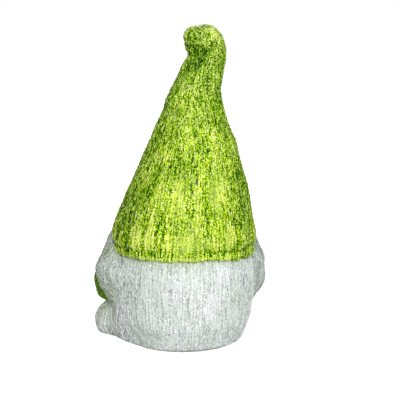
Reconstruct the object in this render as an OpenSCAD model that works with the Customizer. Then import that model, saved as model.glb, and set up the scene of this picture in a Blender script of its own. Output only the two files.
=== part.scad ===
// Tomte gnome figurine: a hollow spun-acrylic light figure with a tall green hat.
// Millimetres, +Z up, the gnome faces -Y and its left hand is at +X.
// The origin is the centre of the flat base that it stands on.

/* [Figure] */
// Widest radius of the body barrel
body_r = 56; // [54.5:0.5:56.5]
// Thickness of the moulded acrylic walls
wall = 3.5; // [2.5:0.5:4]
// Height of the hat's hem above the base
hem_z = 76; // [74:1:78]
// Radius of the nose
nose_r = 10.5; // [8:0.5:11]
// Radius of each mitten's palm
mitten_r = 12; // [10:0.5:13]
// Radius of each boot's toe
boot_r = 15; // [13:0.5:16]

/* [Lights] */
// Number of lamps that ring the inside of the walls
ring_leds = 18; // [9:1:18]
// Angle from one ringed lamp to the next
led_step = 100; // [80:5:120]
// Radius of a lamp's dome
led_r = 2.5; // [1.5:0.5:2.5]

/* [Battery compartment] */
// Radius of a battery cell
cell_r = 7.25; // [5.25:0.25:7.25]
// Length of a battery cell with its nub
cell_l = 50.5; // [44.5:0.5:50.5]
// Swing-side half length of the compartment
box_x = 29; // [29:0.5:29.5]
// Half width of the compartment
box_y = 22.8; // [22.8:0.2:23.2]

/* [Switch] */
// Travel of the switch knob
switch_travel = 4; // [2:0.5:4]

/* [Hidden] */

// Outlines of the two hollow mouldings as [height, outer radius].
body_outer = [
    [0, 46.5], [3, 48], [8, 49.8], [14, 52], [20, 54.3], [28, 55.3], [40, body_r],
    [55, body_r], [66, 55], [74, 53.8], [84, 52.4], [94, 50.4], [104, 47.5]
];
hat_outer = [
    [hem_z, 55.8], [80, 57.4], [85, 58.2], [91, 57.9], [98, 56.1], [122, 48.5], [147, 39.9],
    [164, 34.1], [180, 27.6], [188, 24.6], [197, 22.2], [206, 19.5], [214, 18], [222, 16.3]
];
// The hem folds in until it meets the body, so the hat is thinner there.
hem_inner = [[hem_z, 54.3], [80, 54.4], [85, 54.5], [91, 54], [98, 52.6]];
// How far the hat's middle has leant over at each height.
hat_lean = [
    [hem_z, 0], [98, 1], [122, 3.5], [147, 6], [164, 7.2], [180, 7.2], [188, 7.8],
    [197, 8.1], [206, 9.8], [214, 13.2], [222, 17]
];
lean_dir = [-0.94, 0.34];
// Bends of the folded tip as [x, y, z, radius].
tip_bends = [
    [-18, 6.6, 231.5, 15.2], [-16.4, 8.2, 238.8, 14.3], [-10, 11.8, 242.9, 12.5],
    [-5.9, 15.3, 243.8, 10.9], [-3.1, 18.1, 243.4, 9.2]
];

body_top = body_outer[len(body_outer) - 1][0];
tip_z = hat_outer[len(hat_outer) - 1][0];
glue_gap = 0.3;
rim_clear = 8;
half_steps = 20;

// Base tray: a disc with a battery box standing on it.
tray_r = 42.8;
tray_t = 4;
box_wall = 1.6;
box_roof = 2 * cell_r + 3.7;
ledge_z = 3;
lid_z = 0.6;
lid_t = 1.6;
lid_x = box_x + 1.5;
lid_y = box_y + 1.5;
lid_gap = 0.3;
barrel_r = 1.1;
pin_x = -lid_x + barrel_r;
pin_z = 1.5;
pin_r = 0.8;
pin_gap = 0.08;
tab_w = 12;
tab_l = 8;
tray_screw_xy = [18, 31.2];
lug_reach = 8.4;
cell_z = ledge_z + 0.2 + cell_r;
cell_pitch = 2 * cell_r + 0.4;
nub_r = 2.75;
nub_l = 1.3;
plate_t = 0.4;
spring_l = 2 * (box_x - plate_t) - cell_l;

// Timer board and switch, behind the battery box.
board_y = 32;
board_z = 9.4;
board_t = 1.6;
board_size = [26, 11];
post_x = 10.5;
knob_size = [3.6, 3];
knob_foot_z = 0.8;

// Lamps: a ringed lamp points outwards and its tail points at the figure's middle.
led_first_z = 26;
led_last_z = 180;
led_len = 8.6;
led_flange_r = led_r + 0.4;
tail_r = 1.9;
tail_len = 7;
led_gap = 0.8;
cable_r = 1;
cable_sides = 8;
cable_inset = led_gap + led_len + tail_len + cable_r + 0.1;
top_led_z = 191;

// ---------- shared shapes ----------

function led_name(k) = str("led_", k < 10 ? "0" : "", k);
function lean_xy(z) = lean_dir * lookup(z, hat_lean);
function body_inner_r(z) = max(tray_r + 0.2, lookup(z, body_outer) - wall);
function hat_inner_r(z) = z < 98 ? lookup(z, hem_inner) : lookup(z, hat_outer) - wall;
function by_body(z) = z < body_top + rim_clear;
function wall_r(z) = by_body(z) ? body_inner_r(z) : hat_inner_r(z);
function middle(z) = by_body(z) ? [0, 0] : lean_xy(z);
function ring(centre, r, z, from, to, steps) = [
    for (j = [0:steps]) let (a = from + (to - from) * j / steps)
        [centre[0] + r * cos(a), centre[1] + r * sin(a), z]
];

// Triangles of a curved slab: an outer grid and an inner grid of the same size, joined all round.
function slab_faces(rows, cols) =
    let (o = function (i, j) i * cols + j, n = rows * cols)
    concat(
        [for (i = [0:rows - 2], j = [0:cols - 2])
            each [[o(i, j), o(i + 1, j), o(i + 1, j + 1)], [o(i, j), o(i + 1, j + 1), o(i, j + 1)]]],
        [for (i = [0:rows - 2], j = [0:cols - 2])
            each [[n + o(i, j), n + o(i, j + 1), n + o(i + 1, j + 1)],
                  [n + o(i, j), n + o(i + 1, j + 1), n + o(i + 1, j)]]],
        [for (j = [0:cols - 2], top = [0, 1]) let (i = top * (rows - 1))
            each top == 0
                ? [[o(i, j), o(i, j + 1), n + o(i, j + 1)], [o(i, j), n + o(i, j + 1), n + o(i, j)]]
                : [[o(i, j), n + o(i, j + 1), o(i, j + 1)], [o(i, j), n + o(i, j), n + o(i, j + 1)]]],
        [for (i = [0:rows - 2], last = [0, 1]) let (j = last * (cols - 1))
            each last == 0
                ? [[o(i, j), n + o(i, j), n + o(i + 1, j)], [o(i, j), n + o(i + 1, j), o(i + 1, j)]]
                : [[o(i, j), n + o(i + 1, j), n + o(i, j)], [o(i, j), o(i + 1, j), n + o(i + 1, j)]]]
    );

module slab(outer, inner) {
    polyhedron([for (row = concat(outer, inner)) each row], slab_faces(len(outer), len(outer[0])));
}

// Tube of round section along a list of points.
function unit(v) = v / norm(v);
function heading(path, i) = unit(path[min(i + 1, len(path) - 1)] - path[max(i - 1, 0)]);
function tube_points(path, r, sides) = [
    for (i = [0:len(path) - 1])
        let (t = heading(path, i), u = unit(cross(t, [0.31, 0.17, 1])), v = cross(u, t))
        for (k = [0:sides - 1]) path[i] + r * (u * cos(360 * k / sides) + v * sin(360 * k / sides))
];
function tube_faces(rows, sides) = concat(
    [for (i = [0:rows - 2], k = [0:sides - 1])
        let (a = i * sides + k, b = i * sides + (k + 1) % sides)
        each [[a, b, b + sides], [a, b + sides, a + sides]]],
    [[for (k = [sides - 1:-1:0]) k]],
    [[for (k = [0:sides - 1]) (rows - 1) * sides + k]]
);

module tube(path, r, sides) {
    polyhedron(tube_points(path, r, sides), tube_faces(len(path), sides));
}

module ball(place, r, sides = 28) {
    translate(place) sphere(r, $fn = sides);
}

// A round-ended limb through balls given as [x, y, z, radius].
module limb(bends, grow = 0, sides = 28) {
    for (i = [0:len(bends) - 2]) hull() {
        for (b = [bends[i], bends[i + 1]]) ball([b[0], b[1], b[2]], b[3] + grow, sides);
    }
}

module side_of(side) {
    mirror([side < 0 ? 1 : 0, 0, 0]) children();
}

// Space that the body and hat fill, swollen by the glue gap, to seat what is stuck on them.
module body_space() {
    rotate_extrude($fn = 2 * half_steps)
        polygon(concat([[0, -1]], [[body_outer[0][1] + glue_gap, -1]],
                       [for (p = body_outer) [p[1] + glue_gap, p[0]]], [[0, body_top]]));
}

module hat_space() {
    low = [for (p = hat_outer) if (p[0] < 120) p];
    sides = 2 * half_steps;
    rows = [for (p = low) ring(lean_xy(p[0]), p[1] + glue_gap, p[0], 360, 360 / sides, sides - 1)];
    first = [for (q = rows[0]) q - [0, 0, glue_gap]];
    polyhedron([for (row = concat([first], rows)) each row], tube_faces(len(rows) + 1, sides));
}

// ---------- spun-acrylic mouldings ----------

module hat_half(from) {
    color("yellowgreen") slab(
        [for (p = hat_outer) ring(lean_xy(p[0]), p[1], p[0], from, from + 180, half_steps)],
        [for (p = hat_outer)
            ring(lean_xy(p[0]), hat_inner_r(p[0]), p[0], from, from + 180, half_steps)]
    );
}

module hat_back_shell() {
    hat_half(0);
}

module hat_front_shell() {
    hat_half(180);
}

module hat_tip() {
    neck = lean_xy(tip_z);
    color("yellowgreen") intersection() {
        union() {
            hull() {
                translate([neck[0], neck[1], tip_z])
                    cylinder(h = 0.5, r = hat_outer[len(hat_outer) - 1][1], $fn = 32);
                ball([for (i = [0:2]) tip_bends[0][i]], tip_bends[0][3]);
            }
            limb(tip_bends);
        }
        translate([-60, -60, tip_z]) cube([120, 120, 60]);
    }
}

module body_half(from) {
    color("whitesmoke") slab(
        [for (p = body_outer) ring([0, 0], p[1], p[0], from, from + 180, half_steps)],
        [for (p = body_outer) ring([0, 0], body_inner_r(p[0]), p[0], from, from + 180, half_steps)]
    );
}

module body_back_shell() {
    body_half(0);
}

module body_front_shell() {
    body_half(180);
}

// The beard hangs on the front as a thick curved leaf: [height, half angle, thickness].
beard_rows = [
    [8, 5, 2], [13, 15, 5], [20, 25, 7], [30, 35, 8], [42, 42, 8.5], [54, 45, 8],
    [64, 45, 6.5], [74, 43, 4]
];
beard_cols = 14;
nose_place = [0, -body_r - 5.5, hem_z - nose_r - 0.5];
nose_back = -body_r - glue_gap;

module beard() {
    seat = [for (b = beard_rows) lookup(b[0], body_outer) + 1.5 * glue_gap];
    angles = function (b) [for (j = [0:beard_cols]) 270 + b[1] * (2 * j / beard_cols - 1)];
    leaf = function (i, j) let (u = 2 * j / beard_cols - 1)
        seat[i] + 0.8 + beard_rows[i][2] * sqrt(max(0, 1 - u * u));
    color("white") difference() {
        slab(
            [for (i = [0:len(beard_rows) - 1]) let (a = angles(beard_rows[i]))
                [for (j = [0:beard_cols])
                    [leaf(i, j) * cos(a[j]), leaf(i, j) * sin(a[j]), beard_rows[i][0]]]],
            [for (i = [0:len(beard_rows) - 1]) let (a = angles(beard_rows[i]))
                [for (j = [0:beard_cols]) [seat[i] * cos(a[j]), seat[i] * sin(a[j]), beard_rows[i][0]]]]
        );
        ball(nose_place, nose_r + glue_gap);
    }
}

// A ball with a flat back, where it is glued on.
module nose() {
    back = nose_place[1] - nose_back;
    low = asin(back / nose_r);
    color("bisque") translate(nose_place) rotate([90, 0, 0]) rotate_extrude($fn = 48)
        polygon(concat([[0, back]], [for (i = [0:16]) let (a = low + (90 - low) * i / 16)
            [i == 16 ? 0 : nose_r * cos(a), nose_r * sin(a)]]));
}

// Arms, from shoulder to cuff, as [x, y, z, radius]. The right one, given mirrored, hangs lower.
left_arm = [[47, -15, 80, 12.5], [52.5, -10, 59, 18], [53, -12, 51, 15], [50, -14, 44, 14]];
right_arm = [[49, -2, 80, 14], [53, -5, 60, 18.6], [54, -7, 46, 19], [52, -10, 38, 17.6]];

module arm_space(side, grow) {
    side_of(side) limb(side > 0 ? left_arm : right_arm, grow, 22);
}

module sleeve(side) {
    color("whitesmoke") difference() {
        arm_space(side, 0);
        body_space();
        hat_space();
    }
}

module left_sleeve() {
    sleeve(1);
}

module right_sleeve() {
    sleeve(-1);
}

module mitten(side) {
    color("olivedrab") difference() {
        side_of(side) {
            limb([[57, -24, 49, mitten_r], [51, -36, 41, 9]]);
            limb([[54, -30, 54, 6], [47.5, -36.5, 57, 4.5]]);
        }
        body_space();
        arm_space(side, glue_gap);
    }
}

module left_mitten() {
    mitten(1);
}

module right_mitten() {
    mitten(-1);
}

module boot(side) {
    color("whitesmoke") side_of(side) difference() {
        limb([[36, -14, 11, boot_r], [48.5, -36.5, 10, boot_r + 1]]);
        body_space();
        translate([-100, -100, -50]) cube([200, 200, 50]);
    }
}

module left_boot() {
    boot(1);
}

module right_boot() {
    boot(-1);
}

// ---------- base tray and what is fastened to it ----------

module at_tray_screws() {
    for (sx = [-1, 1], sy = [-1, 1]) translate([sx * tray_screw_xy[0], sy * tray_screw_xy[1], 0])
        rotate(atan2(sy * tray_screw_xy[1], sx * tray_screw_xy[0])) children();
}

module at_board_screws() {
    for (sx = [-1, 1]) translate([sx * post_x, board_y, 0]) children();
}

module block(size, place) {
    translate([place[0] - size[0] / 2, place[1] - size[1] / 2, place[2]]) cube(size);
}

module base_tray() {
    recess = [2 * (lid_x + lid_gap), 2 * (lid_y + lid_gap), ledge_z + 1];
    outer = [2 * (box_x + box_wall), 2 * (box_y + box_wall), box_roof + box_wall];
    color("gainsboro") difference() {
        union() {
            cylinder(h = tray_t, r = tray_r, $fn = 96);
            block(outer, [0, 0, 0]);
            at_board_screws() cylinder(h = board_z, r = 2.2, $fn = 24);
        }
        block([2 * box_x, 2 * box_y, box_roof + 1], [0, 0, -1]);
        block(recess, [0, 0, -1]);
        block([tab_l + 1, tab_w + 2 * lid_gap, ledge_z + 1], [lid_x + tab_l / 2, 0, -1]);
        // Holes for the lid's hinge stubs
        translate([pin_x, 0, pin_z]) rotate([90, 0, 0])
            cylinder(h = 2 * lid_y + 5, r = pin_r + pin_gap, center = true, $fn = 24);
        // Slot for the switch knob
        block([knob_size[0] + switch_travel + 0.4, knob_size[1] + 0.4, tray_t + 2], [0, board_y, -1]);
        at_tray_screws() {
            translate([0, 0, -1]) cylinder(h = tray_t + 2, r = 1.5, $fn = 24);
            translate([0, 0, -1]) cylinder(h = 2.8, r = 3, $fn = 24);
        }
        at_board_screws() translate([0, 0, tray_t]) cylinder(h = board_z, r = 0.85, $fn = 24);
        // Slits for the solder tags
        for (sy = [-1, 1]) block([8, 2.6, 1], [box_x + 2, sy * cell_pitch, 12]);
    }
}

module tray_lugs() {
    color("white") at_tray_screws() difference() {
        union() {
            translate([0, 0, tray_t]) cylinder(h = 10, r = 4, $fn = 32);
            translate([0, -3, tray_t]) cube([lug_reach, 6, 4]);
        }
        translate([0, 0, tray_t - 1]) cylinder(h = 9, r = 1.3, $fn = 24);
    }
}

// Cross-head screw with its head down: head radius and height, shank radius, total length.
module screw(head_r, head_h, shank_r, length) {
    difference() {
        union() {
            cylinder(h = head_h, r = head_r, $fn = 32);
            cylinder(h = length, r = shank_r, $fn = 24);
        }
        for (turn = [0, 90]) rotate(turn) block([head_r * 1.3, 0.6, 0.9], [0, 0, -0.1]);
    }
}

module tray_screws() {
    color("silver") at_tray_screws() translate([0, 0, 0.3]) screw(2.8, 1.5, 1.25, 10.5);
}

module board_screws() {
    color("silver") at_board_screws() translate([0, 0, board_z + board_t + 1.2])
        rotate([180, 0, 0]) screw(1.7, 1.2, 0.8, 7);
}

module battery_cover() {
    color("gainsboro") difference() {
        union() {
            block([2 * lid_x - barrel_r, 2 * lid_y, lid_t], [barrel_r / 2, 0, lid_z]);
            block([tab_l, tab_w, lid_t], [lid_x + tab_l / 2 - 0.1, 0, lid_z]);
            translate([pin_x, 0, pin_z]) rotate([90, 0, 0])
                cylinder(h = 2 * lid_y, r = barrel_r, center = true, $fn = 32);
            translate([pin_x, 0, pin_z]) rotate([90, 0, 0])
                cylinder(h = 2 * lid_y + 4, r = pin_r, center = true, $fn = 24);
        }
        // Grip grooves across the finger tab
        for (g = [0:2]) block([0.8, tab_w - 3, 1], [lid_x + 2 + 2 * g, 0, lid_z - 0.6]);
    }
}

module cover_seal() {
    outer = [2 * box_x + 1, 2 * box_y + 1.6];
    color("dimgray") translate([1, 0, 0]) difference() {
        block([outer[0] - 1.4, outer[1], ledge_z - lid_z - lid_t - 0.05], [0, 0, lid_z + lid_t]);
        block([outer[0] - 4.6, outer[1] - 3.2, 4], [0, 0, lid_z + lid_t - 1]);
    }
}

// Cell k of three. Alternate cells lie the other way round.
module battery(k) {
    way = k == 2 ? -1 : 1;
    color("darkorange") translate([0, (k - 2) * cell_pitch, cell_z])
        rotate([0, way * 90, 0]) translate([0, 0, box_x - plate_t - cell_l]) {
            cylinder(h = cell_l - nub_l, r = cell_r, $fn = 48);
            cylinder(h = cell_l, r = nub_r, $fn = 32);
        }
}

module contact_springs() {
    turns = 4;
    steps = 10 * turns;
    color("silver") for (k = [1:3]) {
        way = k == 2 ? 1 : -1;
        translate([way * (box_x - plate_t), (k - 2) * cell_pitch, cell_z]) rotate([0, -way * 90, 0])
            tube([for (i = [0:steps]) let (a = 360 * turns * i / steps, r = 5 - 2.4 * i / steps)
                    [r * cos(a), r * sin(a), 0.5 + (spring_l - 1) * i / steps]], 0.35, 5);
    }
}

module contact_plates() {
    color("silver") for (end = [-1, 1], k = [1:3]) {
        translate([end * (box_x - plate_t / 2), (k - 2) * cell_pitch, cell_z - 6])
            block([plate_t, 12, 11], [0, 0, 0]);
        if (end > 0 && k != 2) block([5.4, 2, 0.5], [box_x + 2.3, (k - 2) * cell_pitch, 12.25]);
    }
}

// Two insulated leads, from the solder tags over the box to the timer board.
module battery_leads() {
    tag_x = box_x + 4;
    back = [
        [tag_x, cell_pitch, 13.2], [tag_x + 0.5, 17, 19], [31, 21, 23], [24, 26, 24],
        [14, 29, 21], [8.5, 30, 16], [7.5, 30.5, 11.5]
    ];
    front = [
        [tag_x, -cell_pitch, 13.2], [tag_x + 0.5, -12, 19], [31, -4, 23.5], [26, 8, 26],
        [15, 20, 26], [6, 28, 21], [4.5, 30, 15], [4, 30.5, 11.5]
    ];
    color("red") tube(back, 0.7, 6);
    color("black") tube(front, 0.7, 6);
}

module timer_board() {
    color("seagreen") difference() {
        block([board_size[0], board_size[1], board_t], [0, board_y, board_z]);
        at_board_screws() translate([0, 0, board_z - 1]) cylinder(h = 4, r = 1.1, $fn = 24);
    }
}

module timer_chip() {
    color("black") block([5, 4, 1.5], [-2.5, board_y + 2, board_z + board_t]);
}

module board_resistors() {
    color("tan") for (i = [0:2]) block([2, 1.2, 0.6], [-6 + 3 * i, board_y - 3, board_z + board_t]);
}

module switch_housing() {
    color("dimgray") difference() {
        block([13, 6.8, board_z - tray_t], [0, board_y, tray_t]);
        block([11, 5, 2.6], [0, board_y, tray_t - 0.1]);
    }
}

module switch_knob() {
    start = -switch_travel / 2;
    color("black") {
        block([knob_size[0], knob_size[1], tray_t + 0.4 - knob_foot_z], [start, board_y, knob_foot_z]);
        block([6.6, 4.6, 1.5], [start, board_y, tray_t + 0.3]);
    }
}

// ---------- lamps and their cable ----------

function led_z(k) = led_first_z + (led_last_z - led_first_z) * k / (ring_leds - 1);
function cable_point(k) = let (z = led_z(k), r = wall_r(z) - cable_inset, m = middle(z))
    [m[0] + r * cos(led_step * k), m[1] + r * sin(led_step * k), z];

module led() {
    cylinder(h = tail_len, r = tail_r, $fn = 24);
    translate([0, 0, tail_len]) cylinder(h = 1, r = led_flange_r, $fn = 32);
    translate([0, 0, tail_len]) cylinder(h = led_len - led_r, r = led_r, $fn = 32);
    translate([0, 0, tail_len + led_len - led_r]) sphere(led_r, $fn = 32);
}

module at_ring_led(k) {
    m = middle(led_z(k));
    translate([m[0], m[1], led_z(k)]) rotate(led_step * k)
        translate([wall_r(led_z(k)) - led_gap - led_len - tail_len, 0, 0]) rotate([0, 90, 0]) children();
}

module at_top_led(k) {
    m = lean_xy(top_led_z + 8);
    translate([m[0] + (k == 0 ? -4 : 4), m[1], top_led_z + 5 * k]) children();
}

module led_node(k) {
    color("lightyellow") if (k <= ring_leds) at_ring_led(k - 1) led();
    else at_top_led(k - 1 - ring_leds) led();
}

// Clear glue that sticks each ringed lamp to the wall.
module led_glue_collars() {
    color("azure") for (k = [0:ring_leds - 1]) at_ring_led(k) translate([0, 0, tail_len + 3])
        difference() {
            cylinder(h = 4, r = led_r + 1.4, $fn = 24);
            translate([0, 0, -1]) cylinder(h = 6, r = led_r + 0.05, $fn = 32);
        }
}

module led_harness() {
    per_led = 4;
    last = ring_leds - 1;
    m = lean_xy(top_led_z + 8);
    start = [[-7, 34, 11.6], [-5, 34.5, 17], [4, 34, 21], [16, 31.5, 24]];
    end = [[m[0] + 6, m[1] + 1, 184], [m[0] + 3, m[1], 187], [m[0] - 4, m[1], top_led_z - 1.4]];
    color("whitesmoke") tube(
        concat(start, [for (i = [3:last * per_led]) cable_point(i / per_led)], end),
        cable_r, cable_sides
    );
}

hat_back_shell();
hat_front_shell();
hat_tip();
body_back_shell();
body_front_shell();
beard();
nose();
left_sleeve();
right_sleeve();
left_mitten();
right_mitten();
left_boot();
right_boot();
base_tray();
tray_lugs();
tray_screws();
battery_cover();
cover_seal();
battery(1);  // battery_1
battery(2);  // battery_2
battery(3);  // battery_3
contact_springs();
contact_plates();
battery_leads();
timer_board();
timer_chip();
board_resistors();
board_screws();
switch_housing();
switch_knob();
led_harness();
led_glue_collars();
for (k = [1:ring_leds + 2]) led_node(k);
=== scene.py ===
"""Looks of the tomte gnome figurine: spun-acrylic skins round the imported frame, and materials for the
plastics, metals and lamps that show their own shape."""
import math

import bpy
import numpy as np
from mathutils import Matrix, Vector


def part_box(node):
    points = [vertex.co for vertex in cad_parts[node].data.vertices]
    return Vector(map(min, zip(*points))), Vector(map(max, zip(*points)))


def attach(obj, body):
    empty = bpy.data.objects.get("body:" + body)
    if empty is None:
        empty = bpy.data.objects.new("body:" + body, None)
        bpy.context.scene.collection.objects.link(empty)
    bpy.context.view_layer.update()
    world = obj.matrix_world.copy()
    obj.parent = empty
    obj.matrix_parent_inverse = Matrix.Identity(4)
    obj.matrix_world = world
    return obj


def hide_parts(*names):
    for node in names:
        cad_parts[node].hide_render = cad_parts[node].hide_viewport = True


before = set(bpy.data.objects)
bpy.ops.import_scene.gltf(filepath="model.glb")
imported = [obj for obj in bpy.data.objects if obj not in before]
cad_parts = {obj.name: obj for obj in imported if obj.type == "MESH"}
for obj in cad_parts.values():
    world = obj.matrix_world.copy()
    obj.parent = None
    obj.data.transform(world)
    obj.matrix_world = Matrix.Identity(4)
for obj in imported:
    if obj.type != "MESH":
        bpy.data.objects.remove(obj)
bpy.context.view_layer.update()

MM = 0.001
BODY = "figure"

# ---------- sizes in millimetres, as the frame has them ----------

HEM_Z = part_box("hat_back_shell")[0][2] / MM
TIP_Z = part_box("hat_back_shell")[1][2] / MM
BODY_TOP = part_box("body_back_shell")[1][2] / MM
TRAY_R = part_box("base_tray")[1][0] / MM

# Outlines of the mouldings as height and outer radius.
BODY_OUTLINE = np.array([
    [0, 43.5], [1.5, 46.3], [3, 47.8], [8, 49.8], [14, 52], [20, 54.3], [28, 55.3], [40, 56],
    [55, 56], [66, 55], [74, 53.8], [84, 52.4], [94, 50.4], [104, 47.5],
])
HAT_OUTLINE = np.array([
    [78.5, 57.4], [80.5, 57.4], [82.5, 57.2], [86, 58.2], [91, 57.8], [98, 56], [115, 50.6],
    [131, 45.6], [147, 39.8], [156, 36.9], [164, 34], [172, 30.4], [180, 27], [188, 23.9],
    [196, 21.7], [204, 19.3], [212, 18], [222, 16.2],
])
# The hem's roll, from inside the hat round to its outside.
HEM_ROLL = np.array([[90, 54.4], [82, 54.3], [78, 54.1], [76, 54.8], [75.7, 55.8], [76.6, 56.9]])
# How far the hat's middle has leant over at each height, along LEAN.
HAT_LEAN = np.array([
    [HEM_Z, 0], [98, 1], [115, 2.8], [131, 4.4], [147, 6], [156, 6.5], [164, 7.2], [172, 6.9],
    [180, 7.5], [188, 8.3], [196, 8.6], [204, 10], [212, 12.9], [222, 17],
])
# The level directions that the hat leans towards and that its end is folded towards.
LEAN = np.array([-0.94, 0.34])
FOLD = np.array([0.34, 0.94])

# The neck of the tip and the end folded over it, as way along LEAN and FOLD, height and radius.
NECK = [
    (12.9, 0, 212, 17.2), (16.7, 0, 222, 15.4), (18.3, 0, 228, 15), (18.7, 0.4, 233, 14.2),
    (17.4, 2.2, 238.6, 13.4),
]
FOLDED_END = [
    (17.4, 2.2, 238.6, 13.4), (15.2, 5, 241.6, 12.8), (12.3, 9, 244.4, 10.2), (9.8, 13, 245.9, 8.6),
]
FOLD_BLEND = 4.0
# Where rays are cast from to lay a grid on the tip: height, way along LEAN and way along FOLD.
TIP_MIDDLE = np.array([[222, 17, 0], [233, 18.2, 0.6], [238, 17, 2.6], [244, 14.5, 5.5]])
TIP_TOP_R = 13
# How far below the tip the hat's round rings begin to take the tip's shape.
RUN_IN = 8

# Round-ended limbs as x away from the middle, y, z and radius. Side 1 is the left, -1 the right.
ARMS = {
    1: [(47, -15, 80, 12.5), (52.5, -10, 59, 18), (53, -12, 51, 15), (50, -14, 44, 14)],
    -1: [(49, -2, 80, 14), (53, -5, 60, 18.6), (54, -7, 46, 19), (52, -10, 38, 17.6)],
}
BOOT = [(36, -14, 11, 15), (48.5, -36.5, 10, 16)]
PALM = [(57, -24, 49, 11.3), (53.8, -33, 38.6, 10.4)]
THUMB = [(54, -30, 54, 6), (47.5, -36.5, 57, 4.5)]
# How softly each arm and then each boot runs into the body, and the thumb into the palm.
BLENDS = (7.0, 7.0, 20.0, 20.0)
THUMB_BLEND = 3
# Where rays are cast from to lay a grid on a mitten.
MITTEN_MIDDLE = (55, -29, 44)
MITTEN_R = 13
NOSE_R = 10.5
NOSE_SQUASH = 0.97

# The beard from its point up, as height, half its width in degrees round the body, and thickness.
BEARD = np.array([
    [7.5, 3, 1.5], [10, 10, 4], [14, 17, 6], [20, 25, 7.5], [30, 35, 8.5], [42, 42, 9],
    [54, 45, 8.5], [64, 45, 7], [72.5, 43, 4.5],
])
BEARD_LOCKS = 9
BEARD_COLUMNS = 210
# The height in which the locks wave once from side to side, over 2 pi.
BEARD_WAVE = 7.5
BEARD_GAP = 0.8

# Where painted shade darkens the crease under the folded end, and how far it spreads.
CREASE = np.array([-5.7, 16, 233])
CREASE_SIZE = np.array([8, 10, 8])
# The pale spot of painted highlight on the fold's outer bend, and how far it spreads.
BEND = np.array([-19, 15, 246])
BEND_SIZE = 8
# How far the hem hangs lower on the side that the hat leans to, and how far up that is felt.
HEM_DROOP = 4.2
HEM_FADE = 16
TIP_LUMP_HEIGHT = 1.2

# How far apart a skin's points are, and the heights of what is raised on it.
GRID = 0.5
RIB_HEIGHT = 0.26
GRAIN_HEIGHT = 0.3
LUMP_HEIGHT = 0.6
# Ribs fade out where they are closer together than this.
LEAST_PITCH = 1.2
# Ribs round the figure or the hat, and round a mitten or the nose.
RIBS = 128
SMALL_RIBS = 64
# How far out rays start that are cast onto the figure, the tip, a mitten and the nose.
FIGURE_REACH, TIP_REACH, MITTEN_REACH, NOSE_REACH = 86, 45, 34, 20
# The lowest that a point may lie over the floor, and the gap round the tray.
LOWEST = 0.05
TRAY_GAP = 0.4
UNDERSIDE_ROWS = 8
# A loose thread is a thin tube of rings, which each have this many sides.
THREAD_SIDES = 4
THREAD_RINGS = 5
PER_THREAD = THREAD_RINGS * THREAD_SIDES

rng = np.random.default_rng(11)
LATTICE_SIZE = 64
LATTICE = rng.uniform(-1, 1, (LATTICE_SIZE, LATTICE_SIZE, LATTICE_SIZE))


# ---------- shape tools ----------

def noise(points, cell):
    """Smooth noise from -1 to 1 whose features are one cell across. It repeats with the lattice. A
    number added to the points reads it elsewhere, so that layers of noise don't match each other."""
    scaled = points / np.asarray(cell, float)
    corner = np.floor(scaled).astype(int)
    part = scaled - corner
    part = part * part * (3 - 2 * part)
    total = np.zeros(points.shape[:-1])
    for dx in (0, 1):
        for dy in (0, 1):
            for dz in (0, 1):
                weight = np.ones(points.shape[:-1])
                for axis, step in enumerate((dx, dy, dz)):
                    weight *= part[..., axis] if step else 1 - part[..., axis]
                at = [(corner[..., axis] + step) % LATTICE_SIZE for axis, step in enumerate((dx, dy, dz))]
                total += weight * LATTICE[at[0], at[1], at[2]]
    return total


def smooth_curve(table, at):
    """Catmull-Rom curve through the table's rows, read at positions 0 to len - 1."""
    table = np.asarray(table, float)
    index = np.clip(np.floor(at).astype(int), 0, len(table) - 2)
    t = (at - index)[:, None]
    last = len(table) - 1
    a, b, c, d = (table[np.clip(index + step, 0, last)] for step in (-1, 0, 1, 2))
    return 0.5 * (2 * b + (c - a) * t + (2 * a - 5 * b + 4 * c - d) * t ** 2
                  + (3 * b - a - 3 * c + d) * t ** 3)


def even_curve(table, spacing):
    """Points along the smooth curve, about one spacing apart."""
    samples = 60 * len(table)
    fine = smooth_curve(table, np.linspace(0, len(table) - 1, samples))
    along = np.concatenate([[0], np.cumsum(np.linalg.norm(np.diff(fine, axis=0), axis=1))])
    wanted = np.linspace(0, along[-1], max(2, int(round(along[-1] / spacing)) + 1))
    return np.stack([np.interp(wanted, along, fine[:, k]) for k in range(fine.shape[1])], axis=1)


def limb_distance(points, bends, side=1):
    """Distance from a limb made of round-ended cones; side is 1 on the left and -1 on the right."""
    nearest = np.full(points.shape[:-1], np.inf)
    for (ax, ay, az, ar), (bx, by, bz, br) in zip(bends, bends[1:]):
        a = np.array([side * ax, ay, az], float)
        way = np.array([side * bx, by, bz], float) - a
        t = np.clip(((points - a) @ way) / (way @ way), 0, 1)
        gap = np.linalg.norm(points - (a + t[..., None] * way), axis=-1) - (ar + (br - ar) * t)
        nearest = np.minimum(nearest, gap)
    return nearest


def blend_min(a, b, width):
    """The smaller of two distances, rounded over where they are within width of each other."""
    h = np.clip(0.5 + 0.5 * (b - a) / width, 0, 1)
    return b + (a - b) * h - width * h * (1 - h)


def body_distance(points):
    """Level distance from the body's turned wall."""
    radius = np.interp(points[..., 2], BODY_OUTLINE[:, 0], BODY_OUTLINE[:, 1])
    return np.linalg.norm(points[..., :2], axis=-1) - radius


PARTS_OF_FIGURE = [
    body_distance,
    lambda p: limb_distance(p, ARMS[1], 1),
    lambda p: limb_distance(p, ARMS[-1], -1),
    lambda p: limb_distance(p, BOOT, 1),
    lambda p: limb_distance(p, BOOT, -1),
]


def figure_distance(points):
    """Distance from the body with the arms and boots run into it."""
    total = PARTS_OF_FIGURE[0](points)
    for part, width in zip(PARTS_OF_FIGURE[1:], BLENDS):
        total = blend_min(total, part(points), width)
    return total


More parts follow.
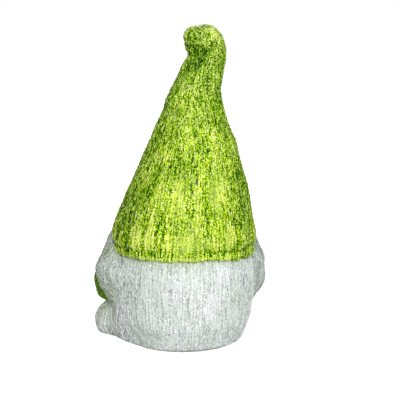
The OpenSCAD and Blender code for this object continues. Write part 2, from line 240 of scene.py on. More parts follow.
def cast_inwards(origins, directions, start, distance, steps=70, share=0.8, least=0.5):
    """Where rays that run inwards from start millimetres out first meet a surface. Each step goes a
    share of the way to the surface, and none ends closer than least to its origin."""
    reach = np.full(origins.shape[:-1], float(start))
    for _ in range(steps):
        gap = distance(origins + directions * reach[..., None])
        reach = np.maximum(reach - share * gap, least)
    return origins + directions * reach[..., None]


def ring(value, at, width):
    """A soft band: 1 where the value is at its middle, and falling away over the width."""
    return np.exp(-((value - at) / width) ** 2)


def rise(value, start, length):
    """From 0 where the value is at the start to 1 a length further on."""
    return np.clip((value - start) / length, 0, 1)


def grid_normals(points, wrap):
    """Outward normals of a grid of rows that rise and columns that turn anticlockwise."""
    along = np.gradient(points, axis=0)
    if wrap:
        across = (np.roll(points, -1, axis=1) - np.roll(points, 1, axis=1)) / 2
    else:
        across = np.gradient(points, axis=1)
    normals = np.cross(across, along)
    length = np.linalg.norm(normals, axis=-1, keepdims=True)
    return normals / np.maximum(length, 1e-9)


def grid_faces(rows, cols, wrap):
    """The four-cornered faces of a grid, which wrap joins round from its last column to its first."""
    i, j = np.meshgrid(np.arange(rows - 1), np.arange(cols if wrap else cols - 1), indexing="ij")
    k = (j + 1) % cols
    quads = np.stack([i * cols + j, i * cols + k, (i + 1) * cols + k, (i + 1) * cols + j], axis=-1)
    return quads.reshape(-1, 4)


def make_mesh(name, points, marks, faces, materials, face_slots):
    """A smooth-shaded object from millimetre points, with only the points its faces use.
    Marks are numbers for each point, by name, that the materials read."""
    used, faces = np.unique(faces, return_inverse=True)
    faces = faces.reshape(-1, 4)
    mesh = bpy.data.meshes.new(name)
    mesh.from_pydata((points[used] * MM).tolist(), [], faces.tolist())
    for material in materials:
        mesh.materials.append(material)
    mesh.polygons.foreach_set("material_index", face_slots.astype(np.int32))
    mesh.polygons.foreach_set("use_smooth", np.ones(len(faces), bool))
    for mark, values in marks.items():
        layer = mesh.attributes.new(mark, "FLOAT", "POINT")
        layer.data.foreach_set("value", values[used].astype(np.float32))
    mesh.validate()
    piece = bpy.data.objects.new(name, mesh)
    bpy.context.scene.collection.objects.link(piece)
    return piece


def spun_texture(points, wrap, ribs, strength=1.0, flow=None):
    """Raises ribs, grain and soft lumps on a grid, as laid threads leave them. The flow moves the ribs
    aside along their length."""
    rows, cols = points.shape[:2]
    normals = grid_normals(points, wrap)
    turn = np.arange(cols) / (cols if wrap else cols - 1)
    along = np.linalg.norm(np.diff(points, axis=0), axis=-1).mean(axis=1)
    along = np.concatenate([[0], np.cumsum(along)])
    u, v = np.meshgrid(turn, along)
    if flow is not None:
        u = u + flow(u, v)
    place = np.stack([u * ribs, v / 18, np.full_like(u, 7.3)], axis=-1)
    wander = 0.5 * noise(place * [1, 1.3, 1] + 3.7, 1)
    pitch = np.linalg.norm(np.diff(points, axis=1), axis=-1).mean(axis=1) * cols / ribs
    rib = 0.6 * np.sin(2 * math.pi * (u * ribs + wander)) + 0.5 * noise(place + 11.9, 1)
    rib *= np.clip(pitch / LEAST_PITCH, 0, 1)[:, None]
    grain = noise(points, (0.95, 0.95, 1.15)) + 0.6 * noise(points + 31.0, 0.75)
    lump = noise(points + 17.0, (12, 12, 15)) + 0.5 * noise(points + 41.0, (5.5, 5.5, 8))
    height = RIB_HEIGHT * rib + GRAIN_HEIGHT * grain + LUMP_HEIGHT * lump
    # Relief is low in the grooves and high on the ridges; the materials paint shade into the grooves with
    # it.
    relief = np.clip(0.5 + 0.32 * rib + 0.2 * grain, 0, 1)
    return points + normals * (strength * height)[..., None], relief


def sample_grid(points, rows, cols, wrap):
    """Points on a grid at fractional rows and columns."""
    total_rows, total_cols = points.shape[:2]
    r = np.clip(rows, 0, total_rows - 1.001)
    c = cols % total_cols if wrap else np.clip(cols, 0, total_cols - 1.001)
    r0, c0 = np.floor(r).astype(int), np.floor(c).astype(int)
    fr, fc = (r - r0)[..., None], (c - c0)[..., None]
    c1 = (c0 + 1) % total_cols if wrap else c0 + 1
    low = points[r0, c0] * (1 - fc) + points[r0, c1] * fc
    high = points[r0 + 1, c0] * (1 - fc) + points[r0 + 1, c1] * fc
    return low * (1 - fr) + high * fr


def threads_on(points, wrap, count, length, radius, lift, slant=0.3, rings=THREAD_RINGS):
    """Loose ends of thread that run across a grid's rows: their points and faces. The length is in
    rows, and the slant in columns to a row."""
    rows, cols = points.shape[:2]
    normals = grid_normals(points, wrap)
    half = length / 2
    middle = rng.uniform(0.2 * half, rows - 0.2 * half, count)
    size = rng.uniform(0.3, 1.0, count) * half
    step = np.linspace(-1, 1, rings)
    row = np.clip(middle[:, None] + size[:, None] * step, 1, rows - 2)
    start = rng.uniform(0, cols, count)
    lean = rng.normal(0, slant, count)
    sway = rng.uniform(0, 2 * math.pi, count)
    # A slow wave and a quicker, smaller one bend each thread from side to side.
    wander = np.sin(step * 3 + sway[:, None]) + 0.4 * np.sin(step * 8 + 2 * sway[:, None])
    col = start[:, None] + lean[:, None] * size[:, None] * step + 0.06 * size[:, None] * wander
    if not wrap:
        col = np.clip(col, 1, cols - 2)
    place = sample_grid(points, row, col, wrap)
    out = sample_grid(normals, row, col, wrap)
    place = place + out * (lift * (0.6 + 0.8 * rng.random((count, rings))))[..., None]
    ahead = np.gradient(place, axis=1)
    ahead /= np.maximum(np.linalg.norm(ahead, axis=-1, keepdims=True), 1e-9)
    aside = np.cross(ahead, out)
    aside /= np.maximum(np.linalg.norm(aside, axis=-1, keepdims=True), 1e-9)
    up = np.cross(aside, ahead)
    taper = np.sqrt(np.clip(1.02 - step ** 4, 0, 1))[None, :]
    taper = taper * rng.uniform(0.7, 1.2, (count, 1)) * radius
    turn = np.arange(THREAD_SIDES) * 2 * math.pi / THREAD_SIDES + math.pi / 4
    tube = (place[:, :, None] + taper[..., None, None]
            * (aside[:, :, None] * np.cos(turn)[:, None] + up[:, :, None] * np.sin(turn)[:, None]))
    tube[..., 2] = np.maximum(tube[..., 2], LOWEST)
    first = (np.arange(count) * rings * THREAD_SIDES)[:, None, None]
    walls = grid_faces(rings, THREAD_SIDES, True)
    last = (rings - 1) * THREAD_SIDES
    ends = np.array([[3, 2, 1, 0], [last, last + 1, last + 2, last + 3]])
    faces = np.concatenate([(first + walls).reshape(-1, 4), (first + ends).reshape(-1, 4)])
    return tube.reshape(-1, 3), faces


def share_threads(threads, owner_of, piece):
    """The threads whose middles belong to one piece."""
    points, faces = threads
    owner = owner_of(points[PER_THREAD // 2::PER_THREAD])
    return points, faces[owner[faces[:, 0] // PER_THREAD] == piece]


def spun_piece(name, points, relief, faces, threads, materials, thread_and_shading_of=None, painted_light_of=None):
    """One moulding: its skin and the loose threads that lie on it. Its materials read relief, from 0 in the
    grooves to 1 on the ridges, with which they paint shade into the grooves; a mark of thread thickness and
    painted shade, from -1, painted highlight, to 1, the thickest thread and darkest painted shade; and glow,
    from 0 to 1 where green light is painted in."""
    thread_points, thread_faces = threads
    points = points.reshape(-1, 3)
    all_points = np.concatenate([points, thread_points])
    # Loose threads count as ridges, so the grooves' painted shade spares them.
    on_ridge = np.full(len(thread_points), 0.8)
    marks = {"relief": np.concatenate([relief.reshape(-1), on_ridge])}
    # Each point also carries its painted shade and highlight, on the hat with thread thickness, and its
    # painted green light.
    if thread_and_shading_of:
        marks["thread_and_painted_shading"] = thread_and_shading_of(all_points)
    if painted_light_of:
        marks["glow"] = painted_light_of(all_points)
    all_faces = np.concatenate([faces, thread_faces + len(points)])
    slots = np.concatenate([np.zeros(len(faces)), np.ones(len(thread_faces))])
    return make_mesh(name, all_points, marks, all_faces, materials, slots)


def finish_piece(piece, slot, *nodes):
    """Ties a piece to the figure, in place of its CAD nodes."""
    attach(piece, BODY)
    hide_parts(*nodes)


# ---------- materials ----------

class Nodes:
    """A material's node tree, with short calls for the nodes that the materials share."""

    def __init__(self, name):
        self.material = bpy.data.materials.new(name)
        self.material.use_nodes = True
        self.tree = self.material.node_tree
        self.shader = self.tree.nodes["Principled BSDF"]
        self.place = self.add("ShaderNodeTexCoord").outputs["Object"]

    def add(self, kind, **settings):
        node = self.tree.nodes.new(kind)
        for key, value in settings.items():
            setattr(node, key, value)
        return node

    def link(self, output, target):
        self.tree.links.new(output, target)

    def put(self, **values):
        for key, value in values.items():
            self.shader.inputs[key.replace("_", " ")].default_value = value

    def noise(self, size_mm, detail=2.0, stretch=(1, 1, 1)):
        mapping = self.add("ShaderNodeMapping")
        mapping.inputs["Scale"].default_value = stretch
        self.link(self.place, mapping.inputs["Vector"])
        texture = self.add("ShaderNodeTexNoise")
        texture.inputs["Scale"].default_value = 1 / (size_mm * MM)
        texture.inputs["Detail"].default_value = detail
        self.link(mapping.outputs["Vector"], texture.inputs["Vector"])
        return texture.outputs["Fac"]

    def ramp(self, value, stops):
        """The colour between the stops that a value from 0 to 1 picks."""
        node = self.add("ShaderNodeValToRGB")
        elements = node.color_ramp.elements
        while len(elements) < len(stops):
            elements.new(0.5)
        for element, (at, colour) in zip(elements, stops):
            element.position = at
            element.color = (*colour, 1)
        self.link(value, node.inputs["Fac"])
        return node.outputs["Color"]

    def feed(self, value, target):
        """Gives an input a number, a colour or another node's output."""
        if isinstance(value, bpy.types.NodeSocket):
            self.link(value, target)
        else:
            target.default_value = (*value, 1) if isinstance(value, tuple) else value

    def mix(self, factor, a, b, mode="MIX"):
        node = self.add("ShaderNodeMix", data_type="RGBA", blend_type=mode)
        # The node has a like-named input for each kind of data; 6 and 7 are its two colours.
        for value, target in ((factor, node.inputs["Factor"]), (a, node.inputs[6]), (b, node.inputs[7])):
            self.feed(value, target)
        return node.outputs[2]

    def times(self, value, by, plus=0.0):
        """One value times another, plus a third."""
        node = self.add("ShaderNodeMath", operation="MULTIPLY_ADD")
        for part, target in zip((value, by, plus), node.inputs):
            self.feed(part, target)
        return node.outputs[0]

    def mark(self, name):
        """A number that the mesh holds for each point."""
        return self.add("ShaderNodeAttribute", attribute_name=name).outputs["Fac"]

    def spread(self, value, low, high):
        """Stretches the middle of a noise's range to run from low to high."""
        node = self.add("ShaderNodeMapRange")
        node.inputs["From Min"].default_value = 0.3
        node.inputs["From Max"].default_value = 0.7
        node.inputs["To Min"].default_value = low
        node.inputs["To Max"].default_value = high
        self.link(value, node.inputs["Value"])
        return node.outputs["Result"]

    def bump(self, value, height_mm, strength=0.6):
        node = self.add("ShaderNodeBump")
        node.inputs["Strength"].default_value = strength
        node.inputs["Distance"].default_value = height_mm * MM
        self.link(value, node.inputs["Height"])
        self.link(node.outputs["Normal"], self.shader.inputs["Normal"])


def linear(r, g, b):
    """Linear colour from 0 to 255 screen values."""
    values = [c / 255 for c in (r, g, b)]
    return tuple(c / 12.92 if c <= 0.04045 else ((c + 0.055) / 1.055) ** 2.4 for c in values)


WHITE = (1.0, 1.0, 1.0)
ACRYLIC_IOR = 1.49
# How far thread thickness and painted shade move the pick from a material's colour stops, and how much they
# spread it.
THREAD_AND_SHADING_SHIFT = 0.08
THREAD_AND_SHADING_CONTRAST = 0.35
# The tint of painted green light on the clear thread.
PAINTED_GREEN_TINT = linear(222, 236, 160)
PATCH_MM = 16


def spun_acrylic(name, stops, deep_and_shade, patch, pale=WHITE, grain=1.1, roughness=(0.3, 0.6), gloss=0.08):
    """Spun thread. Ridges, grain and streaks pick the colour from the stops, darker in the grooves as
    painted shade, and the near-white top stops of the hat and the body are painted glints. Slow patches tint
    it; thicker thread and painted shade darken it, painted highlight pales it, and painted green light tints
    it."""
    n = Nodes(name)
    # The grooves, low in relief, pick darker colour: painted shade.
    ridges = n.mark("relief")
    coarse, fine = n.noise(grain, 0.0), n.noise(0.6 * grain, 0.0)
    streaks = n.noise(1.5 * grain, 0.0, (1, 1, 0.1))
    total = 0.0
    for value, share in ((ridges, 0.26), (coarse, 0.38), (fine, 0.16), (streaks, 0.2)):
        total = n.times(value, share, total)
    # Thread thickness and painted shade shift and spread the pick; below 0 the mark stands for painted
    # highlight.
    thread_and_painted_shading = n.mark("thread_and_painted_shading")
    contrast = n.times(thread_and_painted_shading, THREAD_AND_SHADING_CONTRAST, 1.0)
    pick = n.times(n.times(total, 1.0, -0.5), contrast, n.times(thread_and_painted_shading, -THREAD_AND_SHADING_SHIFT, 0.5))
    colour = n.ramp(pick, stops)
    patches = n.ramp(n.noise(PATCH_MM, 2.0, (1, 1, 0.6)), [(0.32, patch), (0.68, WHITE)])
    colour = n.mix(1.0, colour, patches, "MULTIPLY")
    # Painted shade, and thicker thread on the hat, multiply the colour down towards the shaded tint.
    colour = n.mix(1.0, colour, n.mix(thread_and_painted_shading, WHITE, deep_and_shade), "MULTIPLY")
    # Where the mark is below 0 the colour is mixed towards the pale one, which on the fold's bend is painted
    # highlight.
    colour = n.mix(n.times(thread_and_painted_shading, -1.0), colour, pale)
    # Painted green light tints the colour where the glow mark is high.
    colour = n.mix(n.mark("glow"), colour, PAINTED_GREEN_TINT, "MULTIPLY")
    n.link(colour, n.shader.inputs["Base Color"])
    n.link(n.spread(n.noise(1.1), *roughness), n.shader.inputs["Roughness"])
    n.bump(n.noise(0.9, 1.0), 0.3, 0.6)
    n.put(IOR=ACRYLIC_IOR, Specular_IOR_Level=gloss)
    return n.material


def moulded_plastic(name, colour, roughness=0.42, grain_mm=0.5, height_mm=0.02):
    """Opaque plastic or paper with slow changes of tone and a fine grain."""
    n = Nodes(name)
    light = tuple(min(1, c * 1.12 + 0.004) for c in colour)
    dark = tuple(c * 0.86 for c in colour)
    n.link(n.ramp(n.noise(9, 4.0), [(0.35, dark), (0.65, light)]), n.shader.inputs["Base Color"])
    n.link(n.spread(n.noise(2.4, 3.0), roughness - 0.07, roughness + 0.1), n.shader.inputs["Roughness"])
    n.bump(n.noise(grain_mm), height_mm, 0.5)
    return n.material


def metal(name, colour, roughness, streak=(1, 1, 1)):
    """Metal whose tone and wear may be drawn out into streaks."""
    n = Nodes(name)
    dark = tuple(c * 0.7 for c in colour)
    tone = n.ramp(n.noise(2.2, 4.0, streak), [(0.3, dark), (0.7, colour)])
    n.link(tone, n.shader.inputs["Base Color"])
    wear = n.spread(n.noise(0.9, 3.0, streak), roughness - 0.08, roughness + 0.12)
    n.link(wear, n.shader.inputs["Roughness"])
    n.bump(n.noise(0.4, 2.0, streak), 0.01, 0.4)
    n.put(Metallic=1.0)
    return n.material


def clear_plastic(name, colour, transmission):
    """Glossy plastic that lets a share of the light through."""
    n = Nodes(name)
    dark = tuple(c * 0.9 for c in colour)
    n.link(n.ramp(n.noise(1.2), [(0.3, dark), (0.7, colour)]), n.shader.inputs["Base Color"])
    n.link(n.spread(n.noise(1.0), 0.06, 0.16), n.shader.inputs["Roughness"])
    n.bump(n.noise(0.6), 0.02, 0.3)
    n.put(IOR=ACRYLIC_IOR, Transmission_Weight=transmission)
    return n.material


# The hat's painted shade, and its thicker thread, multiply its colour by this.
GREEN_DEEP_AND_SHADE = (0.66, 0.8, 0.36)
# Where the hat pales, its colour mixes towards this, on the fold's bend as painted highlight.
GREEN_PALE = linear(230, 238, 130)
GREEN_PATCH = linear(212, 226, 170)
# The body's painted shade multiplies its colour by this.
CLEAR_PAINTED_SHADE = (0.45, 0.51, 0.43)
CLEAR_PATCH = linear(240, 244, 236)
# The near-white top stops of this ramp and the next three are painted glints.
GREEN = spun_acrylic(
    "green_spun_acrylic",
    [(0.385, linear(24, 68, 0)), (0.445, linear(84, 138, 0)), (0.51, linear(166, 202, 4)),
     (0.57, linear(222, 238, 30)), (0.635, linear(255, 255, 176))],
    GREEN_DEEP_AND_SHADE, GREEN_PATCH, GREEN_PALE)
GREEN_THREAD = spun_acrylic(
    "green_thread",
    [(0.38, linear(56, 100, 0)), (0.5, linear(158, 194, 8)), (0.62, linear(252, 255, 190))],
    GREEN_DEEP_AND_SHADE, GREEN_PATCH, GREEN_PALE, roughness=(0.2, 0.4), gloss=0.12)
CLEAR = spun_acrylic(
    "clear_spun_acrylic",
    [(0.34, linear(124, 133, 130)), (0.42, linear(190, 196, 194)), (0.54, linear(216, 221, 219)),
     (0.64, linear(250, 253, 253))],
    CLEAR_PAINTED_SHADE, CLEAR_PATCH, grain=0.95)
CLEAR_THREAD = spun_acrylic(
    "clear_thread",
    [(0.36, linear(182, 190, 187)), (0.6, linear(246, 250, 250))],
    CLEAR_PAINTED_SHADE, CLEAR_PATCH, roughness=(0.2, 0.4), gloss=0.15)
MITTEN = spun_acrylic(
    "mitten_spun_acrylic",
    [(0.34, linear(20, 50, 0)), (0.5, linear(84, 130, 4)), (0.64, linear(160, 198, 50))],
    GREEN_DEEP_AND_SHADE, GREEN_PATCH)
MITTEN_THREAD = spun_acrylic(
    "mitten_thread",
    [(0.4, linear(60, 102, 0)), (0.6, linear(170, 208, 70))],
    GREEN_DEEP_AND_SHADE, GREEN_PATCH, roughness=(0.2, 0.4), gloss=0.12)
NOSE = spun_acrylic(
    "nose_spun_acrylic",
    [(0.36, linear(206, 180, 160)), (0.5, linear(232, 212, 196)), (0.64, linear(250, 240, 230))],
    (0.8, 0.7, 0.6), linear(240, 232, 226))
TRAY = moulded_plastic("tray_plastic", linear(226, 228, 224))
SEAL = moulded_plastic("seal_foam", linear(38, 38, 38), 0.8, 0.9, 0.12)
SWITCH = moulded_plastic("switch_plastic", linear(28, 28, 30), 0.35)
WRAP = moulded_plastic("cell_wrap", linear(40, 78, 56), 0.25)
CHIP = moulded_plastic("chip_plastic", linear(22, 22, 24), 0.5)
RESISTOR = moulded_plastic("resistor_body", linear(190, 160, 118), 0.45)
BOARD = moulded_plastic("board_mask", linear(24, 92, 48), 0.3)
LEAD = moulded_plastic("lead_insulation", linear(178, 32, 26), 0.3)
SCREW = metal("screw_metal", linear(196, 196, 198), 0.3)
CONTACT = metal("contact_metal", linear(214, 212, 206), 0.22, (1, 1, 0.2))
LAMP = clear_plastic("lamp_lens", linear(246, 244, 226), 0.6)
GLUE = clear_plastic("clear_glue", linear(240, 243, 245), 0.5)
CABLE = clear_plastic("cable_insulation", linear(232, 238, 234), 0.3)


# ---------- body, sleeves and boots ----------

def figure_skin():
    """One skin for the body and limbs, its relief, and the piece that each of its points belongs to."""
    turns = int(2 * math.pi * BODY_OUTLINE[:, 1].max() / GRID)
    rows = int(BODY_TOP / GRID)
    angle = np.linspace(0, 2 * math.pi, turns, endpoint=False)
    height = np.linspace(0, BODY_TOP, rows)
    a, z = np.meshgrid(angle, height)
    axis = np.stack([0 * a, 0 * a, z], axis=-1)
    outwards = np.stack([np.cos(a), np.sin(a), 0 * a], axis=-1)
    skin = cast_inwards(axis, outwards, FIGURE_REACH, figure_distance)
    piece_of = figure_piece_at(skin)
    skin, relief = spun_texture(skin, True, RIBS, 0.8)
    skin[..., 2] = np.maximum(skin[..., 2], LOWEST)
    # The underside runs in flat to the edge of the tray, and takes its marks from the lowest row.
    steps = np.arange(UNDERSIDE_ROWS)[:, None, None] / UNDERSIDE_ROWS
    inner = outwards[0] * (TRAY_R + TRAY_GAP)
    inner[:, 2] = LOWEST
    underside = inner * (1 - steps) + skin[0] * steps
    relief, piece_of = (
        np.concatenate([np.repeat(mark[:1], UNDERSIDE_ROWS, axis=0), mark]) for mark in (relief, piece_of))
    return np.concatenate([underside, skin]), relief, piece_of


def figure_piece_at(points):
    """Which piece a point on the figure belongs to: 0 and 1 are the body's back and front."""
    nearest = np.argmin(np.stack([part(points) for part in PARTS_OF_FIGURE]), axis=0)
    return np.where(nearest > 0, nearest + 1, np.where(points[..., 1] >= 0, 0, 1))


def body_painted_shade(points):
    """Painted shade: darker on the sleeves towards the figure's sides, where the light falls off towards the
    outline, just under the hat's hem, and a little at the sides.
    """
    sleeve = np.minimum(limb_distance(points, ARMS[1], 1), limb_distance(points, ARMS[-1], -1))
    on_sleeve = (1 - rise(sleeve, 0, 6)) * side_share(points)
    under_hem = rise(points[..., 2], HEM_Z - 12, 12)
    return 0.4 * on_sleeve + 0.2 * under_hem + 0.05 * side_share(points)


def painted_green_light(points):
    """Painted green light, as from the mittens and the hat: a green tint close to the mittens and just under
    the hem.
    """
    mitten = np.minimum(limb_distance(points, PALM, 1), limb_distance(points, PALM, -1))
    near_mitten = 1 - rise(mitten, 0, 20)
    return 0.5 * near_mitten + 0.3 * ring(points[..., 2], HEM_Z, 5)


def build_figure():
    """Cuts the figure's one skin into its body halves, sleeves and boots."""
    points, relief, piece_of = figure_skin()
    rows, cols = points.shape[:2]
    faces = grid_faces(rows, cols, True)
    face_piece = piece_of.reshape(-1)[faces[:, 0]]
    threads = threads_on(points, True, count=6000, length=9, radius=0.24, lift=0.2)
    nodes = ("body_back_shell", "body_front_shell", "left_sleeve", "right_sleeve", "left_boot", "right_boot")
    for index, node in enumerate(nodes):
        piece = spun_piece(
            node.replace("_shell", "") + "_skin", points, relief, faces[face_piece == index],
            share_threads(threads, figure_piece_at, index), [CLEAR, CLEAR_THREAD], body_painted_shade, painted_green_light)
        finish_piece(piece, "clear_acrylic", node)


# ---------- hat ----------

def tip_distance(points):
    """Distance from the leaning neck and the end that is folded over it."""
    neck, end = (
        limb_distance(points, [(*(along * LEAN + over * FOLD), z, r) for along, over, z, r in line])
        for line in (NECK, FOLDED_END))
    return blend_min(neck, end, FOLD_BLEND)


def hat_skin():
    """One grid from inside the hem, up the leaning hat and over the folded tip, and the number of
    its rows below the tip."""
    turns = int(math.pi * HAT_OUTLINE[:, 1].max() / GRID) * 2
    angle = np.linspace(0, 2 * math.pi, turns, endpoint=False)
    out = np.stack([np.cos(angle), np.sin(angle), 0 * angle], axis=-1)
    height, radius = even_curve(np.concatenate([HEM_ROLL, HAT_OUTLINE]), GRID).T
    lean = np.interp(height, HAT_LEAN[:, 0], HAT_LEAN[:, 1])[:, None] * LEAN
    axis = np.column_stack([lean, height])[:, None]
    # Above the hat, level rings are cast onto the tip, and then rings that rise to its top.
    high = even_curve(TIP_MIDDLE, GRID)
    middle = np.column_stack([high[:, 1:2] * LEAN + high[:, 2:] * FOLD, high[:, 0]])[:, None]
    tip = cast_inwards(middle + 0 * out, out + 0 * middle, TIP_REACH, tip_distance)
    upward = np.linspace(0, math.pi / 2, int(TIP_TOP_R / GRID * math.pi / 2))[1:-1, None, None]
    way = out * np.cos(upward) + np.array([0, 0, 1]) * np.sin(upward)
    dome = cast_inwards(middle[-1] + 0 * way, way, TIP_REACH, tip_distance)
    # The hat's round rings run over gradually into the tip's first one.
    share = rise(height, TIP_Z - RUN_IN, RUN_IN)[:, None, None]
    first = (tip[0] - middle[0]) / radius[-1]
    rings = axis + radius[:, None, None] * (out * (1 - share) + first * share)
    return np.concatenate([rings, tip[1:], dome]), len(rings)


def side_share(points):
    """From 0 at the figure's front and back to 1 at its two sides."""
    middle = np.interp(points[..., 2], HAT_LEAN[:, 0], HAT_LEAN[:, 1])[..., None] * LEAN
    way = points[..., :2] - middle
    aside = (way @ LEAN) ** 2 / np.maximum((way ** 2).sum(axis=-1), 1e-6)
    return aside ** 2


def hat_thread_and_painted_shading(points):
    """Painted shade darkens the groove above the hem's roll, the crease under the folded end and the two
    sides, where the light falls off towards the outline, and painted highlight pales the fold's outer bend.
    Besides, the colour is deeper in the upper part, the tip and random streaks, and paler on the roll and in
    a band over it."""
    above_hem = points[..., 2] - HEM_Z
    groove = ring(above_hem, 6, 1.6) * np.clip(0.6 + 1.2 * noise(points, 7), 0, 1.3)
    roll = ring(above_hem, 1.5, 2)
    band = ring(above_hem, 15, 6)
    fold = np.exp(-np.linalg.norm((points - CREASE) / CREASE_SIZE, axis=-1) ** 4)
    upper = rise(above_hem, 60, 60)
    in_tip = rise(above_hem, 140, 10)
    bend = ring(np.linalg.norm(points - BEND, axis=-1), 0, BEND_SIZE)
    streak = noise(points, (6, 6, 32))
    # The groove, the fold's crease and the sides are painted shade, and the bend is painted highlight.
    thread_and_painted_shading = (0.6 * groove + 1.3 * fold + 0.72 * side_share(points) + 0.3 * upper + 0.2 * in_tip
             + 0.38 * streak - 0.2 * roll - 0.16 * band - 0.7 * bend)
    return np.clip(thread_and_painted_shading, -1, 1.4)


def hat_piece_at(points):
    """Which piece a point on the hat belongs to: 0 is the back, 1 the front and 2 the tip."""
    middle = np.interp(points[:, 2], HAT_LEAN[:, 0], HAT_LEAN[:, 1]) * LEAN[1]
    return np.where(points[:, 2] > TIP_Z, 2, np.where(points[:, 1] < middle, 1, 0))


def build_hat():
    """Cuts the hat's one skin into its two half shells and the tip."""
    points, tip_row = hat_skin()
    # The hem's edge is uneven, as hand-laid threads leave it, and hangs lower where the hat leans.
    near_hem = 1 - rise(points[..., 2], HEM_Z, HEM_FADE)
    edge = points[:1] * [1, 1, 0]
    flutter = 1.1 * noise(edge, 9) + 0.5 * noise(edge, 2.5)
    leaning = points[..., :2] @ LEAN / HAT_OUTLINE[:, 1].max()
    points[..., 2] += near_hem * (flutter - HEM_DROOP * rise(leaning, 0.3, 0.6))
    lumps = TIP_LUMP_HEIGHT * noise(points, 8) * rise(points[..., 2], TIP_Z, 8)
    points = points + grid_normals(points, True) * lumps[..., None]
    points, relief = spun_texture(points, True, RIBS)
    rows, turns = points.shape[:2]
    faces = grid_faces(rows, turns, True)
    threads = threads_on(points, True, count=8000, length=9, radius=0.26, lift=0.26)
    row, column = faces[:, 0] // turns, faces[:, 0] % turns
    face_piece = np.where(row >= tip_row - 1, 2, np.where(column >= turns // 2, 1, 0))
    for index, node in enumerate(("hat_back_shell", "hat_front_shell", "hat_tip")):
        piece = spun_piece(
            node.replace("_shell", "") + "_skin", points, relief, faces[face_piece == index],
            share_threads(threads, hat_piece_at, index), [GREEN, GREEN_THREAD], hat_thread_and_painted_shading)
        finish_piece(piece, "green_acrylic", node)


# ---------- mittens, nose and beard ----------

def ball_grid(centre, start, distance, spacing, radius):
    """A grid cast onto a shape round its centre, from its lowest point to its highest."""
    rows = int(math.pi * radius / spacing)
    turns = int(2 * math.pi * radius / spacing)
    # The grid stops just short of the poles, so that none of its faces is a sliver.
    last = math.pi / 2 - 0.02
    turn = np.linspace(0, 2 * math.pi, turns, endpoint=False)
    b, a = np.meshgrid(np.linspace(-last, last, rows), turn, indexing="ij")
    way = np.stack([np.cos(b) * np.cos(a), np.cos(b) * np.sin(a), np.sin(b)], axis=-1)
    origin = np.broadcast_to(np.array(centre, float), way.shape)
    return cast_inwards(origin, way, start, distance)


def build_mitten(side):
    """A palm with a thumb: side is 1 on the left and -1 on the right."""
    def distance(points):
        palm, thumb = limb_distance(points, PALM, side), limb_distance(points, THUMB, side)
        return blend_min(palm, thumb, THUMB_BLEND)
    x, y, z = MITTEN_MIDDLE
    points = ball_grid((side * x, y, z), MITTEN_REACH, distance, GRID, MITTEN_R)
    points, relief = spun_texture(points, True, SMALL_RIBS, 0.85)
    name = ("left" if side > 0 else "right") + "_mitten"
    threads = threads_on(points, True, count=350, length=7, radius=0.22, lift=0.12)
    piece = spun_piece(
        name + "_skin", points, relief, grid_faces(*points.shape[:2], True), threads,
        [MITTEN, MITTEN_THREAD])
    finish_piece(piece, "mitten_acrylic", name)


def build_nose():
    """A round nose that stands as far forward as its CAD node."""
    low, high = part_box("nose")
    centre = np.array([0, low[1] / MM + NOSE_R, (low[2] + high[2]) / 2 / MM])

    def distance(points):
        return np.linalg.norm((points - centre) / (1.0, 1.0, NOSE_SQUASH), axis=-1) - NOSE_R
    points = ball_grid(centre, NOSE_REACH, distance, 0.9 * GRID, NOSE_R)
    points, relief = spun_texture(points, True, SMALL_RIBS, 0.5)
    threads = threads_on(points, True, count=120, length=6, radius=0.18, lift=0.06)
    piece = spun_piece(
        "nose_skin", points, relief, grid_faces(*points.shape[:2], True), threads, [NOSE, NOSE])
    finish_piece(piece, "nose_acrylic", "nose")


def build_beard():
    """Wavy locks that fan from under the hem and gather to a point."""
    rows = even_curve(BEARD, GRID)
    u = np.linspace(-1, 1, BEARD_COLUMNS)
    z, half, thick = rows[:, :1], np.radians(rows[:, 1:2]), rows[:, 2:3]
    seat = np.interp(z, BODY_OUTLINE[:, 0], BODY_OUTLINE[:, 1]) + BEARD_GAP
    # Locks are wide ridges that wave from side to side on their way down.
    wave = 0.55 * np.sin(z / BEARD_WAVE) + 0.3 * np.sin(z / 4.1 + 4 * u)
    ridge = np.abs(np.sin(math.pi * (u * BEARD_LOCKS / 2 + wave))) ** 0.7
    dome = np.sqrt(np.clip(1 - u ** 2, 0, 1))
    reach = seat + dome * thick * (0.72 + 0.28 * ridge)
    angle = 1.5 * math.pi + half * u
    points = np.stack([reach * np.cos(angle), reach * np.sin(angle), z + 0 * angle], axis=-1)
    points, relief = spun_texture(points, False, RIBS, 0.8, lambda a, v: 0.02 * np.sin(v / BEARD_WAVE))
    faces = grid_faces(*points.shape[:2], False)
    threads = threads_on(points, False, count=420, length=44, radius=0.26, lift=0.18, slant=0.06, rings=12)
    piece = spun_piece("beard_locks", points, relief, faces, threads, [CLEAR, CLEAR_THREAD])
    finish_piece(piece, "clear_acrylic", "beard")


# ---------- plastics, metals and lamps carried over from the frame ----------

NODE_LOOKS = {
    "base_tray": TRAY, "tray_lugs": TRAY, "battery_cover": TRAY, "cover_seal": SEAL,
    "battery_1": WRAP, "battery_2": WRAP, "battery_3": WRAP, "contact_springs": CONTACT,
    "contact_plates": CONTACT, "battery_leads": LEAD, "timer_board": BOARD, "timer_chip": CHIP,
    "board_resistors": RESISTOR, "board_screws": SCREW, "tray_screws": SCREW,
    "switch_housing": SWITCH, "switch_knob": SWITCH, "led_harness": CABLE, "led_glue_collars": GLUE,
}


def dress_nodes():
    """Gives the CAD nodes that show their own shape their materials."""
    for name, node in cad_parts.items():
        look = LAMP if name[:4] == "led_" and name[4:].isdigit() else NODE_LOOKS.get(name)
        if look:
            node.data.materials.clear()
            node.data.materials.append(look)


# ---------- floor, lights and camera ----------

VIEW_AZIMUTH, VIEW_ELEVATION = 160, 11
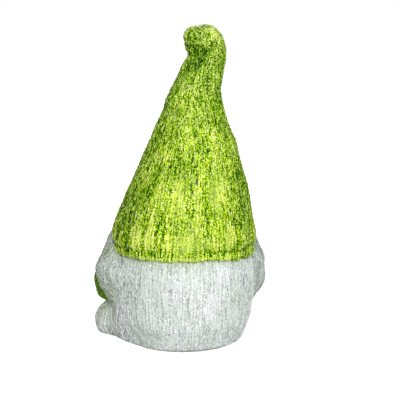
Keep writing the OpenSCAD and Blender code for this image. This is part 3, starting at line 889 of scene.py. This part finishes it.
# The point that the camera looks at: how far to its right of the figure's axis, and its height.
LOOK_ASIDE, LOOK_HEIGHT = 0.0133, 0.1142
# What the picture spans at that point, in metres, the lens in millimetres and the sensor's width.
VIEW_SPAN = 0.3224
LENS = 120
SENSOR = 36

# Lights as azimuth, elevation, distance and size in metres, and power.
LIGHTS = (
    (VIEW_AZIMUTH + 10, 20, 1.5, 0.6, 24), (VIEW_AZIMUTH + 190, 24, 1.5, 0.7, 22),
    (VIEW_AZIMUTH + 100, 30, 1.5, 0.8, 2), (VIEW_AZIMUTH - 80, 30, 1.5, 0.8, 2),
)
LIT_HEIGHT = 0.12
# How bright the surroundings are as a light, and how bright the floor and they look to the camera.
WORLD_LIGHT = 0.13
FLOOR_LOOK, WORLD_LOOK = 0.97, 1.0
FLOOR_SIZE = 4.0


def build_floor():
    corners = [(-FLOOR_SIZE, -FLOOR_SIZE, 0), (FLOOR_SIZE, -FLOOR_SIZE, 0),
               (FLOOR_SIZE, FLOOR_SIZE, 0), (-FLOOR_SIZE, FLOOR_SIZE, 0)]
    mesh = bpy.data.meshes.new("floor")
    mesh.from_pydata(corners, [], [(0, 1, 2, 3)])
    floor = bpy.data.objects.new("floor", mesh)
    bpy.context.scene.collection.objects.link(floor)
    paper = moulded_plastic("floor_paper", (0.45, 0.45, 0.45), 0.8, 1.5, 0.01)
    glow = paper.node_tree.nodes["Principled BSDF"].inputs
    glow["Emission Color"].default_value = (1, 1, 1, 1)
    paper.node_tree.links.new(camera_share(paper.node_tree, 0.0, FLOOR_LOOK), glow["Emission Strength"])
    mesh.materials.append(paper)


def away(azimuth, elevation):
    """The direction from the figure to a viewer at this azimuth and elevation."""
    a, e = math.radians(azimuth), math.radians(elevation)
    return np.array([math.sin(a) * math.cos(e), -math.cos(a) * math.cos(e), math.sin(e)])


def aim(thing, place, target):
    """Puts a camera or light at a place and points it at the target."""
    thing.location = place
    thing.rotation_euler = (Vector(target) - Vector(place)).to_track_quat("-Z", "Y").to_euler()


def build_camera():
    aside = away(VIEW_AZIMUTH + 90, 0)
    target = aside * LOOK_ASIDE + np.array([0, 0, LOOK_HEIGHT])
    distance = VIEW_SPAN * LENS / SENSOR
    data = bpy.data.cameras.new("camera")
    data.lens, data.sensor_width = LENS, SENSOR
    camera = bpy.data.objects.new("camera", data)
    bpy.context.scene.collection.objects.link(camera)
    aim(camera, target + away(VIEW_AZIMUTH, VIEW_ELEVATION) * distance, target)
    bpy.context.scene.camera = camera


def camera_share(tree, otherwise, to_camera):
    """One strength where the camera looks straight at a surface, another for the light it gives."""
    path = tree.nodes.new("ShaderNodeLightPath")
    strength = tree.nodes.new("ShaderNodeMapRange")
    strength.inputs["To Min"].default_value = otherwise
    strength.inputs["To Max"].default_value = to_camera
    tree.links.new(path.outputs["Is Camera Ray"], strength.inputs["Value"])
    return strength.outputs["Result"]


def build_lights():
    centre = np.array([0, 0, LIT_HEIGHT])
    for azimuth, elevation, distance, size, power in LIGHTS:
        data = bpy.data.lights.new("studio_light", "AREA")
        data.size, data.energy = size, power
        light = bpy.data.objects.new("studio_light", data)
        bpy.context.scene.collection.objects.link(light)
        aim(light, centre + away(azimuth, elevation) * distance, centre)
    world = bpy.data.worlds.new("studio")
    world.use_nodes = True
    bpy.context.scene.world = world
    background = world.node_tree.nodes["Background"]
    background.inputs["Color"].default_value = (1, 1, 1, 1)
    strength = camera_share(world.node_tree, WORLD_LIGHT, WORLD_LOOK)
    world.node_tree.links.new(strength, background.inputs["Strength"])
    bpy.context.scene.view_settings.view_transform = "Standard"


build_camera()
build_floor()
build_lights()
build_figure()
build_hat()
for hand in (1, -1):
    build_mitten(hand)
build_nose()
build_beard()
dress_nodes()
